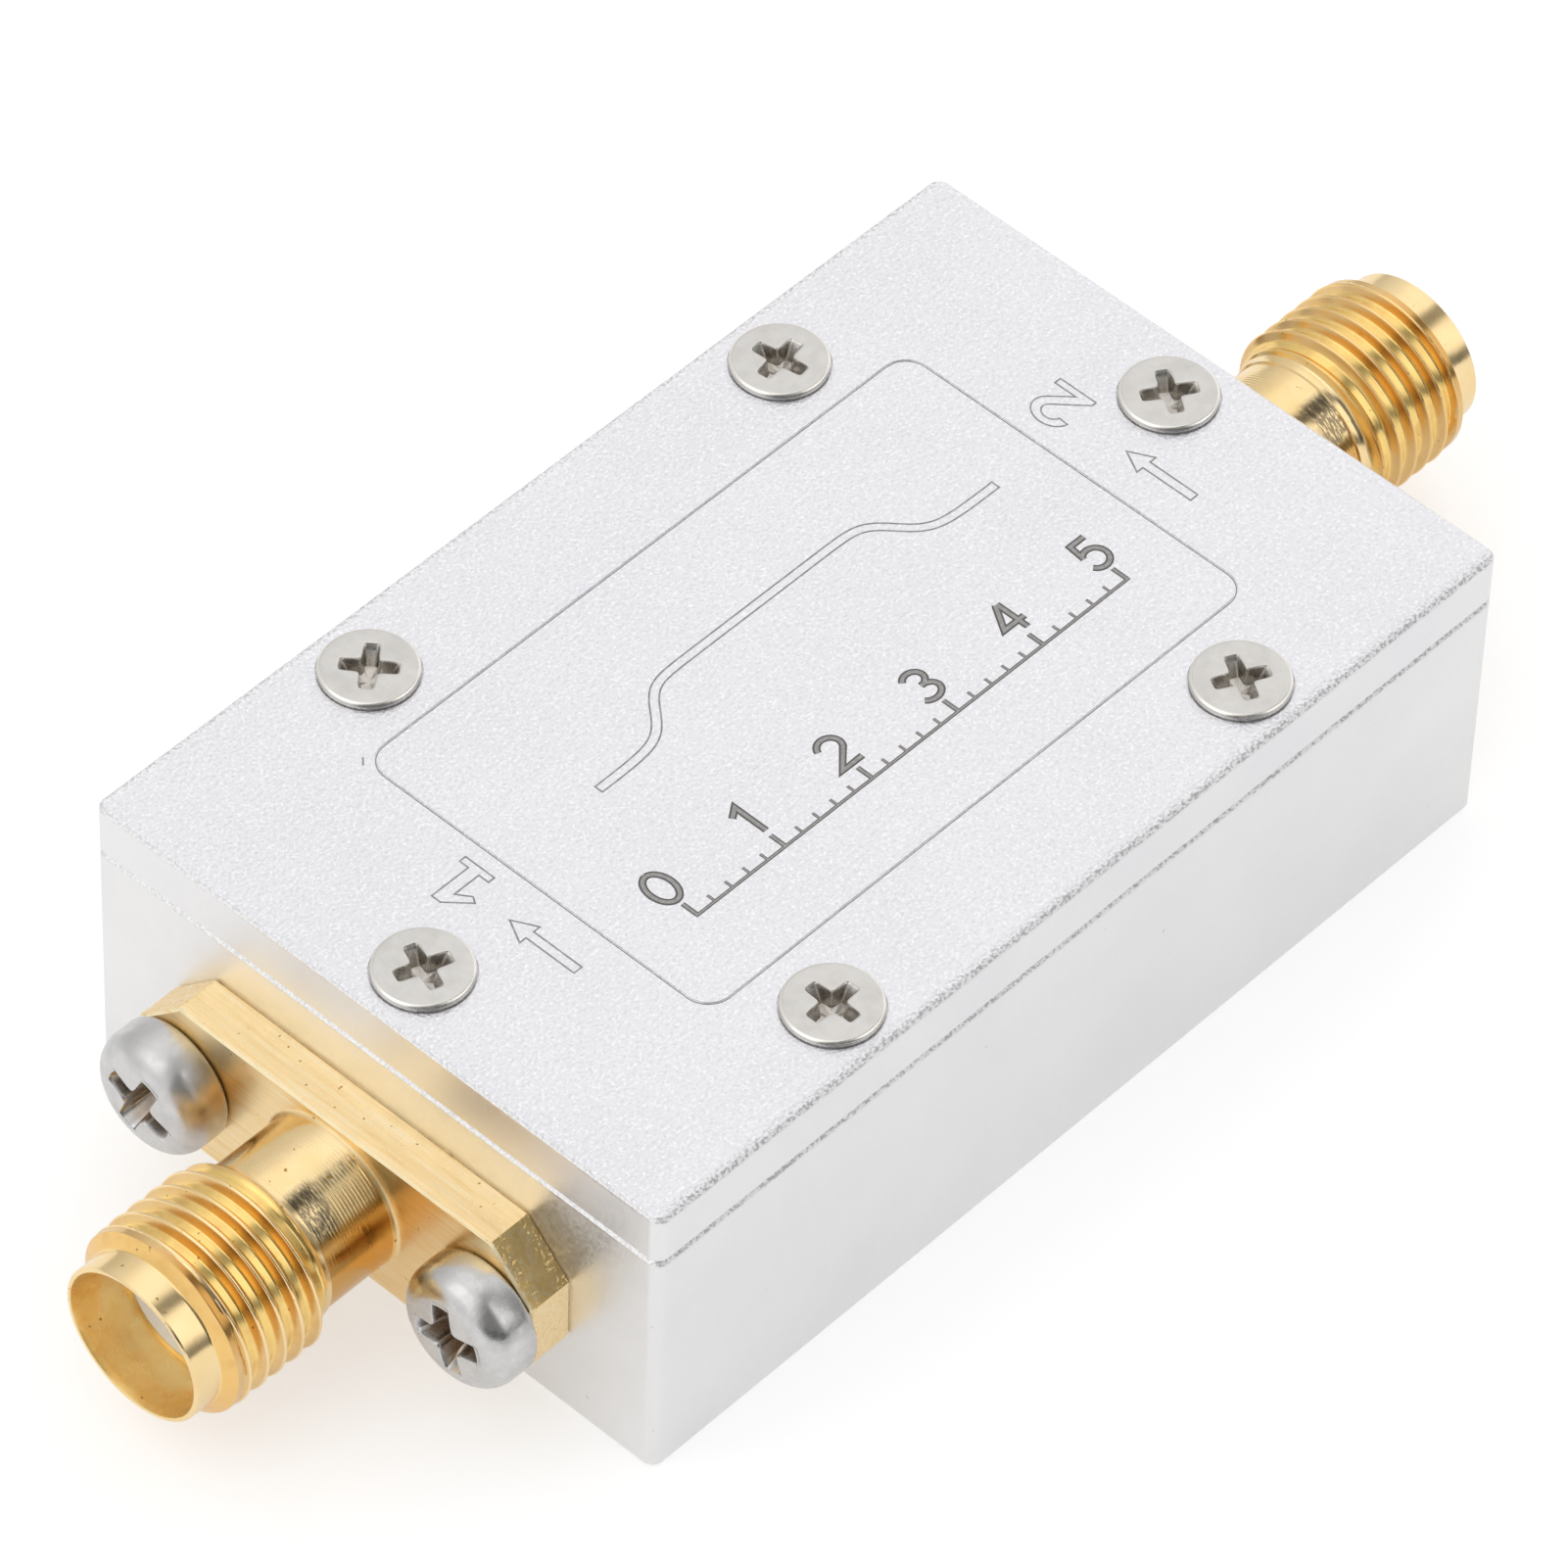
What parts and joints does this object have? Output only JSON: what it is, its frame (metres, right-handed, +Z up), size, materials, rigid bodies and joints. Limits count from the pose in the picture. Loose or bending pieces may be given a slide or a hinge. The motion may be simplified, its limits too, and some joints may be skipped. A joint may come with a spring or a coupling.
{
  "type": "rf bandpass filter",
  "caption": "Small milled aluminium case with a screwed lid and a gold-plated threaded coaxial socket on each end, holding a board with ceramic resonators.",
  "frame": {"origin": "centre of the case's underside", "axes": "+X along the signal path from the input end to the output end, +Y across the case, +Z up"},
  "size_m": [0.0554, 0.0226, 0.0113],
  "materials": {
    "case_aluminium": "bead-blasted, clear anodised",
    "lid_aluminium": "bead-blasted, clear anodised, laser-marked",
    "nickel_screws": "nickel-plated steel, bright rim",
    "gold_plate": "gold-plated brass, turned",
    "dielectric_white": "white fluoropolymer",
    "contact_gold": "gold-plated copper alloy",
    "steel_screws": "stainless steel, tumbled",
    "board_laminate": "glass-fibre laminate with solder mask",
    "resonator_ceramic": "silvered dielectric ceramic",
    "tinned_metal": "tin-plated strip",
    "capacitor_ceramic": "multilayer chip ceramic",
    "solder": "bright solder"
  },
  "bodies": {
    "root": {"case_body": "case_aluminium", "lid": "lid_aluminium", "lid_screw_1": "nickel_screws", "lid_screw_2": "nickel_screws", "lid_screw_3": "nickel_screws", "lid_screw_4": "nickel_screws", "lid_screw_5": "nickel_screws", "lid_screw_6": "nickel_screws", "input_connector_shell": "gold_plate", "output_connector_shell": "gold_plate", "input_dielectric": "dielectric_white", "output_dielectric": "dielectric_white", "input_contact": "contact_gold", "output_contact": "contact_gold", "flange_screw_1": "steel_screws", "flange_screw_2": "steel_screws", "flange_screw_3": "steel_screws", "flange_screw_4": "steel_screws", "circuit_board": "board_laminate", "board_screw_1": "steel_screws", "board_screw_2": "steel_screws", "board_screw_3": "steel_screws", "board_screw_4": "steel_screws", "resonator_1": "resonator_ceramic", "resonator_2": "resonator_ceramic", "resonator_3": "resonator_ceramic", "resonator_tab_1": "tinned_metal", "resonator_tab_2": "tinned_metal", "resonator_tab_3": "tinned_metal", "coupling_capacitor_1": "capacitor_ceramic", "coupling_capacitor_2": "capacitor_ceramic", "coupling_capacitor_3": "capacitor_ceramic", "coupling_capacitor_4": "capacitor_ceramic", "input_solder": "solder", "output_solder": "solder"}
  },
  "joints": []
}
